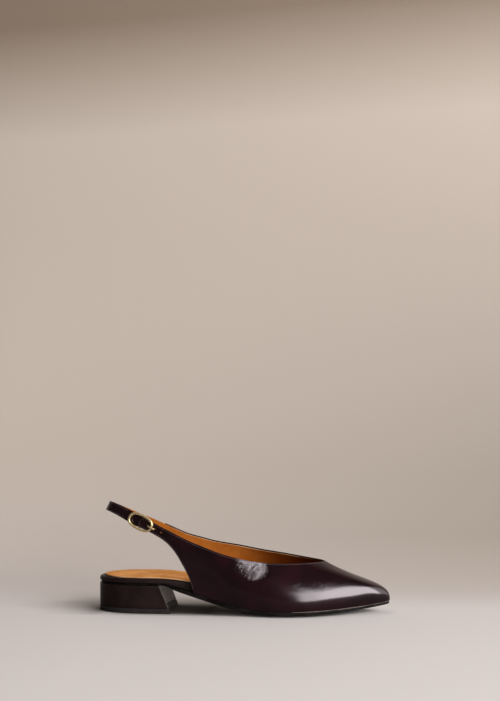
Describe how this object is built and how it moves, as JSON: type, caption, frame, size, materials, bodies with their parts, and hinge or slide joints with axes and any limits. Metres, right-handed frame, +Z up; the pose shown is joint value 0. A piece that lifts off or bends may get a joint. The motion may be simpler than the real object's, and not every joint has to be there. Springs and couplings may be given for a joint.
{
  "type": "slingback flat",
  "caption": "Pointed slingback flat in dark polished leather with tan lining, a low covered block heel and a narrow strap round the heel closed by an oval buckle.",
  "frame": {"origin": "on the floor under the middle of the shoe's length and of its greatest width", "axes": "+X towards the toe, +Y towards the inner side of the foot, +Z up"},
  "size_m": [0.262, 0.0782, 0.0976],
  "materials": {
    "upper_leather": "polished, very dark aubergine with a fine crinkle",
    "covered_heel": "smooth dark brown leather wrap",
    "outsole": "dark stained edge",
    "top_lift": "matt",
    "sock_leather": "matt tan",
    "buckle_metal": "polished pale gold plating"
  },
  "bodies": {
    "root": {"upper": "upper_leather", "sling_strap": "upper_leather", "footbed": "covered_heel", "heel_block": "covered_heel", "outsole": "outsole", "top_lift": "top_lift", "sock_lining": "sock_leather", "buckle_frame": "buckle_metal", "buckle_prong": "buckle_metal"}
  },
  "joints": []
}
